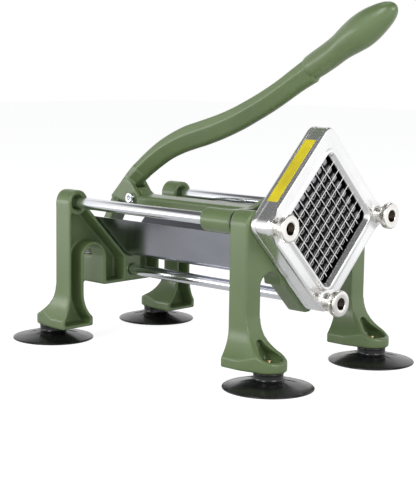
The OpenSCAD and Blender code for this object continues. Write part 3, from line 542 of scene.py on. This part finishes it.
# Rings that leave only a narrow gap round the upper rods in the rear bosses
BOSS_RING = ((7.4, 0), (10.9, 0), (10.9, 6), (7.4, 6))
BOSS_RING_Y = 110.4
boss_rings = [moved(turned(BOSS_RING, 64, True), (x, BOSS_RING_Y, HEAD_Z), FACING)
              for x in (-ROD_REACH, ROD_REACH)]
settle("rear_frame_casting", cast(together(node_mesh("rear_frame"), *boss_rings), 1.05, 6),
       "frame", "green_paint", "rear_frame")
settle("carriage_casting", cast(node_mesh("carriage"), 0.9, 5),
       "carriage", "green_paint", "carriage")

# ---------------------------------------------------------------- lever

# Middle of the bar from the hub to the grip: y, z and depth
BAR = ((120.5, 135.5, 11), (110, 145.3, 12.2), (103, 154.2, 14), (94, 162.4, 15.6),
       (83.7, 170.2, 16.8), (69.8, 180, 18), (55.1, 189, 19.2), (39.3, 196.4, 20.6),
       (22.9, 202.5, 22.2), (6.2, 207.4, 22.3), (-10.1, 212.5, 21.6), (-25.7, 218, 20.7),
       (-40.7, 224.1, 20), (-54.9, 230.7, 19.4), (-68.6, 237.4, 19), (-81.8, 244.5, 18.6),
       (-94.4, 251.8, 18.3), (-106.7, 259.3, 18.8), (-121.2, 267.5, 20.2))
# Middle of the round grip, from its shoulder to its tip: y, z and diameter
GRIP = ((-120.8, 269.7, 21.4), (-121.8, 270.5, 22.4), (-125.6, 272.8, 22.8),
        (-130.8, 275.7, 23.1), (-140.1, 281, 23.2), (-151.5, 288.1, 23.6),
        (-162.6, 295.1, 27.1), (-173.7, 301.8, 29.4), (-184.5, 308.6, 27.5),
        (-195.4, 315.1, 21.9), (-201.5, 318.8, 16.6), (-205.3, 321.2, 10.6),
        (-207.0, 322.3, 5.0), (-207.6, 322.7, 1.2))
# Half widths of the bar at its flat top, at the ridge on its sides and at its keel, and
# its depth halfway along
BAR_TOP, BAR_RIDGE, BAR_KEEL = 9.0, 10.35, 4.6
BAR_MIDDLE_DEPTH = 18.0
# Where the constructed foot is cut off, below the knee: y and z, and the station after it
LEVER_CUT = (88.0, 167.0)
CUT_STATION = 4


def curve_through(stations, step):
    """Places about this far apart on a smooth curve through the stations."""
    points = [Vector(station) for station in stations]
    ends = [points[0] * 2 - points[1]] + points + [points[-1] * 2 - points[-2]]
    places = []
    for a, b, c, d in zip(ends, ends[1:], ends[2:], ends[3:]):
        count = max(1, round((c - b).length / step))
        for k in range(count):
            t = k / count
            places.append(b + t * (c - a) / 2 + t * t * (a - 2.5 * b + 2 * c - d / 2)
                          + t ** 3 * (3 * (b - c) + d - a) / 2)
    places.append(points[-1])
    return places


def bar_section(depth, parts=5):
    """Places round the bar's section: flat top, widest at a ridge, tapering to the keel."""
    half, ridge = depth / 2, 0.1 * depth
    side = ((0, half), (BAR_TOP - 1.2, half), (BAR_TOP, half - 1.0),
            (BAR_RIDGE, ridge + 0.6), (BAR_RIDGE, ridge - 0.4),
            (BAR_KEEL + 1.4, 2.7 - half), (BAR_KEEL, 0.9 - half),
            (BAR_KEEL - 1.9, -0.4 - half), (0, -0.8 - half))
    right = [(x0 + (x1 - x0) * k / parts, z0 + (z1 - z0) * k / parts)
             for (x0, z0), (x1, z1) in zip(side, side[1:]) for k in range(parts)]
    return right + [(-x, z) for x, z in [side[-1]] + right[:0:-1]]


# The grip's round section has its places at the same angles as the bar's
GRIP_ANGLES = [math.atan2(z, x) for x, z in bar_section(BAR_MIDDLE_DEPTH)]


def grip_section(diameter):
    return [(diameter / 2 * math.cos(a), diameter / 2 * math.sin(a)) for a in GRIP_ANGLES]


def lever_rings(stations, section, step=1.5):
    """Sections that stand square to the curve through the stations."""
    places = curve_through(stations, step)
    rings = []
    for number, (y, z, depth) in enumerate(places):
        before, after = places[max(number - 1, 0)], places[min(number + 1, len(places) - 1)]
        ahead = Vector((after[0] - before[0], after[1] - before[1])).normalized()
        rings.append([(x, y + ahead[1] * up, z - ahead[0] * up) for x, up in section(depth)])
    return rings


def lever_foot():
    """The fork, the lower arm and the heel as constructed, cut off below the knee."""
    shape = bmesh.new()
    shape.from_mesh(node_mesh("lever"))
    (y0, z0, _), (y1, z1, _) = BAR[CUT_STATION - 1:CUT_STATION + 1]
    ahead = Vector((0, y1 - y0, z1 - z0))
    bmesh.ops.bisect_plane(shape, geom=shape.verts[:] + shape.edges[:] + shape.faces[:],
                           plane_co=Vector((0, *LEVER_CUT)) * MM, plane_no=ahead,
                           clear_outer=True)
    rim = [edge for edge in shape.edges if edge.is_boundary]
    bmesh.ops.holes_fill(shape, edges=rim, sides=0)
    return as_mesh(shape)


lever_bar = skin(lever_rings(BAR, bar_section) + lever_rings(GRIP, grip_section))
settle("lever_casting", cast(together(lever_bar, lever_foot()), 0.8, 5),
       "lever", "green_paint", "lever")

# ---------------------------------------------------------------- blade head

# From behind to the front: back of the plate, joint with the cover, its face and its lip
BACK_Y = -123.5
JOINT_Y = -129.0
FACE_Y = -143.8
LIP_Y = -145.2
EDGE_R = 2.4
JOINT_R = 0.6
# How far the bosses keep inside the head's outline, and how deep they stand in its face
BOSS_INSET = 0.8
BOSS_SUNK = 2.2
BOSS_PROFILE = ((0, 0), (13.4, 0), (13.4, 2.25), (12.4, 2.45), (11.4, 2.75), (10.6, 3.1),
                (9.8, 3.5), (9.0, 3.9), (8.6, 4.1), (0, 4.1))
# The cover from its face over the lip and down the slope into the opening: outset and y
LIP_PROFILE = ((8.6, FACE_Y), (7.8, FACE_Y - 0.1), (5.9, LIP_Y + 0.2), (5.2, LIP_Y),
               (3.7, LIP_Y), (3.1, LIP_Y + 0.3), (0.3, LIP_Y + 4.1), (0, LIP_Y + 4.6),
               (0, JOINT_Y))
# The plate from behind: insets from the head's outline, then outsets from the opening
PLATE_OUTSIDE = ((0.9, BACK_Y), (0.26, BACK_Y - 0.26), (0, BACK_Y - 0.9),
                 (0, JOINT_Y + JOINT_R), (JOINT_R, JOINT_Y))
PLATE_INSIDE = ((2.5, JOINT_Y), (2.5, BACK_Y - 0.5), (3.0, BACK_Y))
# The slope's outer rim, its depth, and the width over which the painted shade on it fades
SLOPE_OUT, SLOPE_DEEP, MARK_FADE = 3.9, 4.1, 0.5


def turned_45(x, z):
    """The two directions of the head's sides from those of the bench."""
    return (x + z) / math.sqrt(2), (z - x) / math.sqrt(2)


def square_ring(half, corner, y, steps=9):
    """A rounded square that stands on its point round the middle of the head."""
    ring = []
    for quarter, (side_u, side_v) in enumerate(((1, 1), (-1, 1), (-1, -1), (1, -1))):
        for step in range(steps + 1):
            angle = (quarter + step / steps) * math.pi / 2
            u = side_u * (half - corner) + corner * math.cos(angle)
            v = side_v * (half - corner) + corner * math.sin(angle)
            ring.append(((u - v) / math.sqrt(2), y, HEAD_Z + (u + v) / math.sqrt(2)))
    return ring


def outer_ring(inset, y):
    return square_ring(HEAD_HALF - inset, HEAD_CORNER - inset, y)


def inner_ring(outset, y):
    return square_ring(OPENING_HALF + outset, OPENING_CORNER + outset, y)


def rounded_edge(radius, y, steps=5):
    """Insets and depths of an outer edge that rolls over to the face at this y."""
    return [(radius * (1 - math.cos(a)), y + radius * (1 - math.sin(a)))
            for a in (math.pi / 2 * k / steps for k in range(steps + 1))]


def past_square(u, v, half, corner):
    """How far a place lies from the square on which a rounded square's corners turn."""
    return Vector((max(abs(u) - half + corner, 0), max(abs(v) - half + corner, 0)))


def drawn_in(u, v, half, corner):
    """The nearest place inside a rounded square, in its own two directions."""
    reach = half - corner
    out = past_square(u, v, half, corner)
    if out.length > corner:
        out *= corner / out.length
    return (math.copysign(min(abs(u), reach) + out.x, u),
            math.copysign(min(abs(v), reach) + out.y, v))


def within_head(mesh):
    """Draws a boss in to the head's outline where it would stand past it."""
    for vertex in mesh.vertices:
        u, v = drawn_in(*turned_45(vertex.co.x / MM, vertex.co.z / MM - HEAD_Z),
                        HEAD_HALF - BOSS_INSET, HEAD_CORNER - BOSS_INSET)
        vertex.co.x = (u - v) / math.sqrt(2) * MM
        vertex.co.z = (HEAD_Z + (u + v) / math.sqrt(2)) * MM
    return mesh


def cover_mesh():
    """Front cover: rolled outer edge, raised lip, slope down to the opening, three bosses."""
    rings = [outer_ring(JOINT_R, JOINT_Y), outer_ring(0, JOINT_Y - JOINT_R)]
    rings += [outer_ring(inset, y) for inset, y in rounded_edge(EDGE_R, FACE_Y)]
    rings += [inner_ring(outset, y) for outset, y in LIP_PROFILE]
    bosses = [within_head(moved(turned(BOSS_PROFILE), (x, FACE_Y + BOSS_SUNK, z), FACING))
              for x, z in ROD_PLACES.values()]
    return together(skin(rings, True), *bosses)


def back_plate_mesh():
    rings = [outer_ring(inset, y) for inset, y in PLATE_OUTSIDE]
    rings += [inner_ring(outset, y) for outset, y in PLATE_INSIDE]
    return edged(skin(rings, True), 50)


def painted_shade_in_opening(place):
    """How far inside the opening, for the painted shade there: one half on the slope at its rim,
    one further in.
    """
    x, y, z = place - Vector((0, 0, HEAD_Z))
    out = past_square(*turned_45(x, z), OPENING_HALF, OPENING_CORNER).length - OPENING_CORNER
    slope = min(1.0, max(0.0, (SLOPE_OUT - out) / MARK_FADE))
    deep = min(1.0, max(0.0, (y - LIP_Y - SLOPE_DEEP) / MARK_FADE))
    return 0.5 * slope * (1 + deep)


settle("head_cover", marked(cast(cover_mesh(), 0.7, 4), "inside", painted_shade_in_opening),
       "frame", "head_metal", "blade_cover")
settle("head_back_plate", marked(back_plate_mesh(), "inside", painted_shade_in_opening),
       "frame", "head_metal", "blade_back_plate")

BLADE_HALF = 0.5
BLADE_TIP_HALF = 0.06
BLADE_DEPTH = 4.1
# Where a blade begins to narrow to its cutting edge, as a share of its depth
BLADE_STRAIGHT_SHARE = 0.62
# How far a blade runs past the opening, and how much of its front edge is ground
BLADE_GRIP = 4.9
BLADE_GROUND = 0.06
# For each set the turn that gives its direction, and the y of its front edges
BLADE_SETS = {"front": (90, -142.3), "rear": (0, -138.1)}


def blade_mesh():
    """One blade along Y, ground to an edge on the side that meets the food."""
    right = [(BLADE_HALF, 0), (BLADE_HALF, -BLADE_GROUND),
             (BLADE_HALF, -BLADE_DEPTH * BLADE_STRAIGHT_SHARE), (BLADE_TIP_HALF, -BLADE_DEPTH)]
    section = [(-BLADE_HALF, 0)] + right + [(-x, z) for x, z in right[:0:-1]]
    end = OPENING_HALF + BLADE_GRIP
    return marked(skin([[(x, y, z) for x, z in section] for y in (-end, end)]), "ground",
                  lambda place: 1.0 if place.z > -BLADE_GROUND / 2 else 0.0)


for name, (turn, y) in BLADE_SETS.items():
    row = lattice.made(blade_mesh(), FINISHES["blade_steel"], Across=CELLS - 1, Down=1,
                       Pitch=PITCH * MM)
    moved(row, turn=Matrix.Rotation(math.radians(turn), 4, "Z"))
    settle(f"{name}_blades", moved(row, (0, y, HEAD_Z), TO_HEAD), "frame", "blade_steel",
           f"blades_{name}_set")

# ---------------------------------------------------------------- finger block

FINGER_HALF = 4.35
FINGER_LONG = 17.4
FINGER_Y = -137.9
BLOCK_Y = -106.5
BLOCK_HALF = 40.4
BLOCK_CORNER = 8.0
# The block's base from behind to the fingers' feet: inset and y
BASE_PROFILE = ((0.6, BLOCK_Y), (0, BLOCK_Y - 0.6), (0, FINGER_Y + FINGER_LONG + 0.4),
                (0.4, FINGER_Y + FINGER_LONG))
# Rings of a finger from its foot to its pad: half width and height
FINGER_PROFILE = ((FINGER_HALF, -FINGER_LONG - 1), (FINGER_HALF, -1.9), (2.95, -0.3), (2.6, 0))
# How far a ring's corners reach, as a share of its half width
FINGER_CORNER_SHARE = 1.27
# The round dish in a pad: radius and height
DISH_PROFILE = ((2.15, 0), (2.0, -0.12), (1.45, -0.75), (0.9, -0.8), (0.75, -0.45))


def finger_mesh(dished, sides=16):
    """One finger, drawn in to a small flat pad that looks up, some with a round dish."""
    angles = [math.pi / 4 + 2 * math.pi * k / sides for k in range(sides)]

    def circle(radius, height):
        return [(radius * math.cos(a), radius * math.sin(a), height) for a in angles]

    def square(half, height):
        reaches = [half * min(FINGER_CORNER_SHARE, 1 / max(abs(math.cos(a)), abs(math.sin(a))))
                   for a in angles]
        return [(r * math.cos(a), r * math.sin(a), height) for r, a in zip(reaches, angles)]

    rings = [square(half, height) for half, height in FINGER_PROFILE]
    if dished:
        rings += [circle(radius, height) for radius, height in DISH_PROFILE]
    return skin(rings + [circle(0, rings[-1][0][2])])


def inside_block(mesh):
    """Draws the points of the corner fingers in to the block's rounded corners."""
    for vertex in mesh.vertices:
        u, v = drawn_in(vertex.co.x / MM, vertex.co.y / MM, BLOCK_HALF, BLOCK_CORNER)
        vertex.co.x, vertex.co.y = u * MM, v * MM
    return mesh


# Seven rows of seven with a dish; the rows along the two upper edges are plain. Both places
# are in pitches from the middle of the block.
MIDDLE = -0.5
EDGE = CELLS / 2 - 0.5
plain, dished = finger_mesh(False), finger_mesh(True)
fingers = []
for finger, across, down, x, y in ((dished, CELLS - 1, CELLS - 1, MIDDLE, MIDDLE),
                                   (plain, CELLS, 1, 0, EDGE),
                                   (plain, 1, CELLS - 1, EDGE, MIDDLE)):
    rows = lattice.made(finger, FINISHES["black_plastic"], Across=across, Down=down,
                        Pitch=PITCH * MM)
    fingers.append(moved(rows, (x * PITCH, y * PITCH, 0)))
# The pads' tops are marked for a painted reflection
fingers = marked(inside_block(together(*fingers)), "polished",
                 lambda place: 1.0 if place.z > -0.01 else 0.0)
block_base = skin([square_ring(BLOCK_HALF - inset, BLOCK_CORNER - inset, y)
                   for inset, y in BASE_PROFILE])
block = together(moved(fingers, (0, FINGER_Y, HEAD_Z), TO_HEAD), block_base)
settle("finger_block", edged(block, 40), "carriage", "black_plastic", "pusher_block")

# ---------------------------------------------------------------- thumb nuts

NUT_LONG = 15.2
NUT_BORE = 4.96
NUT_RIM = 11.6
NUT_FLANGE = NUT_LONG - 6.6
NUT_OUTSIDE = (
    (NUT_BORE + 0.3, 0), (7.9, 0), (8.2, 0.15), (8.3, 0.45), (8.3, 1.5), (8.1, 1.8), (6.7, 2.0),
    (6.5, 2.3), (6.5, 2.9), (6.8, 3.2), (7.5, 3.4), (7.6, 3.7), (7.6, 4.6), (7.4, 4.9), (6.9, 5.1),
    (6.8, 5.4), (6.8, NUT_FLANGE - 0.9), (7.1, NUT_FLANGE - 0.2), (8.0, NUT_FLANGE),
    (10.6, NUT_FLANGE), (11.3, NUT_FLANGE + 0.35), (NUT_RIM, NUT_FLANGE + 0.9),
    (NUT_RIM, NUT_LONG - 1.0), (11.45, NUT_LONG - 0.5), (11.0, NUT_LONG - 0.12),
    (10.4, NUT_LONG), (6.2, NUT_LONG), (5.6, NUT_LONG - 0.15), (NUT_BORE + 0.25, NUT_LONG - 0.6))
THREADS = 8
THREAD_FROM = 0.9
THREAD_PITCH = 0.85
THREAD_DEEP = 0.42
# Out to here the finish takes the mesh for the bore, and how softly that ends
BORE_MARK = NUT_BORE + 0.62
BORE_FADE = 0.12
# The knurl's ridges: how many, how high, and how far each fills its share of the rim
RIDGES = 84
RIDGE_HIGH = 0.38
RIDGE_SHARE = 0.92
# A ridge from its foot to its top: height along the nut and how far it stands out
RIDGE_PROFILE = ((NUT_LONG - 5.5, 0.05), (NUT_LONG - 5.1, RIDGE_HIGH),
                 (NUT_LONG - 1.5, RIDGE_HIGH), (NUT_LONG - 1.1, 0.05))


def nut_profile():
    """Radius and height of a thumb nut from its foot to its face and back down the bore."""
    thread = []
    for k in range(THREADS):
        height = NUT_LONG - THREAD_FROM - k * THREAD_PITCH
        thread += [(NUT_BORE, height), (NUT_BORE + THREAD_DEEP, height - THREAD_DEEP)]
    return [*NUT_OUTSIDE, *thread, (NUT_BORE, 0.3)]


def ridge_mesh():
    """One ridge of the knurl, pointing along +X from the flange."""
    half = math.pi * NUT_RIM / RIDGES * RIDGE_SHARE
    return skin([[(-0.2, -half, z), (-0.2, half, z), (tip, half * 0.2, z), (tip, -half * 0.2, z)]
                 for z, tip in RIDGE_PROFILE])


def bored(place):
    """One inside the threaded bore, where shade is painted, none on the plated outside."""
    return min(1.0, max(0.0, (BORE_MARK - math.hypot(place.x, place.y)) / BORE_FADE))


nut_body = marked(edged(turned(nut_profile(), loop=True), 40), "bore", bored)
knurl = wreath.made(ridge_mesh(), FINISHES["nut_nickel"], Count=RIDGES, Radius=NUT_RIM * MM)
for side, (x, z) in ROD_PLACES.items():
    settle(f"knurled_nut_{side}", moved(together(nut_body, knurl), (x, STUD_Y, z), FACING),
           f"nut_{side}", "nut_nickel", f"thumb_nut_{side}")

# ---------------------------------------------------------------- suction cups

CUP_PLACES = {"front_left": (-74.0, -141.2), "front_right": (74.0, -141.2),
              "rear_left": (-72.2, 141.2), "rear_right": (72.2, 141.2)}
CUP_PROFILE = (
    (0, 14.75), (12.6, 14.75), (13.1, 14.4), (13.25, 13.9), (13.25, 13.2), (13.1, 12.8),
    (13.0, 12.4), (13.0, 12.0), (13.0, 9.6), (13.2, 8.7), (13.9, 7.8), (15.2, 7.2), (18.5, 6.6),
    (24, 5.4), (30, 3.95), (35, 2.7), (38.0, 1.85), (39.2, 1.5), (39.6, 1.2), (39.7, 0.75),
    (39.6, 0.3), (39.2, 0.05), (38.6, 0), (37.2, 0), (34.5, 0.8), (26, 2.9), (16, 4.6), (0, 5.0))
CUP_RIBS = 8
CUP_RIB_AT = 15
# A rib from the neck outwards: distance, height of its foot, half width and its own height
RIB_PROFILE = ((-1.6, 8.2, 0.6, 0.1), (0, 7.3, 0.6, 0.3), (3.5, 6.6, 0.55, 0.4),
               (7, 5.8, 0.45, 0.3), (9.5, 5.2, 0.3, 0.15), (11, 4.9, 0.2, 0.05))


def rib_mesh():
    """One thin rib on the back of a cup, from its neck outwards along X."""
    return skin([[(x, -half, z - 0.6), (x, half, z - 0.6), (x, half * 0.8, z + high * 0.6),
                  (x, half * 0.3, z + high), (x, -half * 0.3, z + high),
                  (x, -half * 0.8, z + high * 0.6)] for x, z, half, high in RIB_PROFILE])


cup_body = edged(turned(CUP_PROFILE, 128), 50)
cup_ribs = edged(wreath.made(rib_mesh(), FINISHES["black_rubber"], Count=CUP_RIBS,
                             Radius=CUP_RIB_AT * MM), 60)
for corner, (x, y) in CUP_PLACES.items():
    settle(f"cup_{corner}", moved(together(cup_body, cup_ribs), (x, y, 0)),
           "frame", "black_rubber", f"suction_cup_{corner}")

# ---------------------------------------------------------------- small metal

for node, body, slot, width in (
        ("rod_end_nuts", "frame", "plain_steel", 0.5),
        ("rod_end_washers", "frame", "plain_steel", 0.2),
        ("hub_nut", "lever", "plain_steel", 0.4),
        ("hub_bolt", "lever", "rod_chrome", 0.35),
        ("pin_clips", "lever", "plain_steel", 0.25),
        ("lower_pin", "lever", "plain_steel", 0.6),
        ("cup_studs", "frame", "stud_brass", 0.4),
        ("pusher_plate", "carriage", "plain_steel", 0.4),
        ("rod_upper_left", "frame", "rod_chrome", 0.4),
        ("rod_upper_right", "frame", "rod_chrome", 0.4),
        ("rod_lower", "frame", "rod_chrome", 0.4)):
    settle(f"{node}_finished", dressed(node_mesh(node), width), body, slot, node)

# ---------------------------------------------------------------- stage, light and camera

# In metres and as shares of white
FLOOR_HALF = 6.0
FLOOR_Z = -0.0001
FLOOR_GLOW = 0.84
FLOOR_SHADE = (0.45, 0.45, 0.45, 1)
FLOOR_MATT = (0.86, 0.86, 0.86, 1)
# In gloss the floor's glow is dimmed near the object as a painted shade: this share, fading out
# over these distances
NEAR_SHARE = 0.36
NEAR_FROM, NEAR_TO = 0.35, 0.80
# Over the object the studio is this dark, from one height in the world's picture to the other
STUDIO_DARK = 0.13
DARK_FROM, DARK_TO = 0.42, 0.70
AMBIENT = 0.30
AMBIENT_COLOUR = (0.97, 0.985, 1.0, 1)
WHITE = (1, 1, 1, 1)


def pale_floor():
    """White floor that keeps a light shadow: most of its white is its own."""
    material = bpy.data.materials.new("pale_floor")
    material.use_nodes = True
    n = Nodes(material.node_tree)
    shaded, matt, white, both, reach = (n.add(kind) for kind in (
        "ShaderNodeBsdfDiffuse", "ShaderNodeBsdfDiffuse", "ShaderNodeEmission",
        "ShaderNodeAddShader", "ShaderNodeVectorMath"))
    n.feed(shaded, 0, FLOOR_SHADE)
    n.feed(matt, 0, FLOOR_MATT)
    reach.operation = "LENGTH"
    n.join(n.add("ShaderNodeTexCoord"), "Object", reach, 0)
    # Painted shade: the floor seen in gloss glows less near the object
    fade = n.ramp(reach.outputs["Value"], NEAR_SHARE * FLOOR_GLOW, FLOOR_GLOW,
                  NEAR_FROM, NEAR_TO, interpolation_type="SMOOTHSTEP")
    pick = n.add("ShaderNodeMix")
    n.join(n.add("ShaderNodeLightPath"), "Is Camera Ray", pick, 0)
    n.feed(pick, 2, fade)
    n.feed(pick, 3, FLOOR_GLOW)
    n.join(pick, 0, white, 1)
    n.join(shaded, 0, both, 0)
    n.join(white, 0, both, 1)
    choice = n.choose(n.seen_directly(), matt.outputs[0], both.outputs[0])
    n.join(choice, 0, n.add("ShaderNodeOutputMaterial"), 0)
    return material


def studio_world():
    """White all round; over the object, gloss finds the dark of the studio."""
    world = bpy.data.worlds.new("studio")
    world.use_nodes = True
    n = Nodes(world.node_tree)
    split = n.add("ShaderNodeSeparateXYZ")
    n.join(n.add("ShaderNodeTexCoord"), "Generated", split, 0)
    rise = n.ramp(split.outputs["Z"], 1.0, STUDIO_DARK, DARK_FROM, DARK_TO,
                  interpolation_type="SMOOTHSTEP")
    camera_ray = n.add("ShaderNodeLightPath").outputs["Is Camera Ray"]
    around, plain = n.add("ShaderNodeBackground"), n.add("ShaderNodeBackground")
    n.feed(around, 0, AMBIENT_COLOUR)
    n.feed(around, 1, AMBIENT)
    n.feed(plain, 0, WHITE)
    n.feed(plain, 1, n.larger(rise, camera_ray))
    blend = n.choose(n.seen_directly(), around.outputs[0], plain.outputs[0])
    n.join(blend, 0, n.add("ShaderNodeOutputWorld"), 0)
    return world


def soft_light(name, place, aim, size, watts):
    """A soft box at a place that looks at another, both in metres."""
    lamp = bpy.data.lights.new(name, "AREA")
    lamp.shape = "RECTANGLE"
    lamp.size, lamp.size_y = size
    lamp.energy = watts
    holder = put_in(name, lamp)
    holder.location = place
    holder.rotation_euler = (Vector(aim) - Vector(place)).to_track_quat("-Z", "Y").to_euler()


floor_mesh = bpy.data.meshes.new("floor")
floor_mesh.from_pydata([(x * FLOOR_HALF, y * FLOOR_HALF, FLOOR_Z) for x, y in
                        ((-1, -1), (1, -1), (1, 1), (-1, 1))], [], [(0, 1, 2, 3)])
floor_mesh.materials.append(pale_floor())
put_in("floor", floor_mesh)

soft_light("key_left", (-1.6, -0.2, 1.1), (0, 0, 0.12), (0.7, 1.0), 12)
soft_light("side_strip", (-1.38, 1.12, 0.18), (0, 0, 0.14), (1.1, 0.36), 5)
soft_light("front_fill", (-0.2, -2.0, 0.8), (0, 0, 0.1), (1.2, 0.6), 15)
soft_light("top", (0.3, 0.3, 1.7), (0, 0, 0.1), (1.0, 0.5), 3)
bpy.context.scene.world = studio_world()

FOCAL_PIXELS = 1310.05
PICTURE_HEIGHT = 498
# Where the camera looks from: its turn, tilt and roll in degrees, and its place along
# its own right, up and back
TURN, TILT, ROLL = (math.radians(a) for a in (-47.14, 8.10, 0.88))
RIGHTWARD, UPWARD, BACKWARD = 1.74, 96.26, 1264.39
back = Vector((math.sin(TURN) * math.cos(TILT), -math.cos(TURN) * math.cos(TILT), math.sin(TILT)))
level = Vector((math.cos(TURN), math.sin(TURN), 0))
upright = back.cross(level)
right = level * math.cos(ROLL) + upright * math.sin(ROLL)
up = upright * math.cos(ROLL) - level * math.sin(ROLL)
lens = bpy.data.cameras.new("camera")
lens.sensor_fit = "VERTICAL"
lens.sensor_height = 36
lens.lens = FOCAL_PIXELS * lens.sensor_height / PICTURE_HEIGHT
lens.clip_start, lens.clip_end = 0.05, 50
camera = put_in("camera", lens)
camera.matrix_world = Matrix((right, up, back)).transposed().to_4x4()
camera.matrix_world.translation = (right * RIGHTWARD + up * UPWARD + back * BACKWARD) * MM
bpy.context.scene.camera = camera
bpy.context.scene.view_settings.view_transform = "Standard"
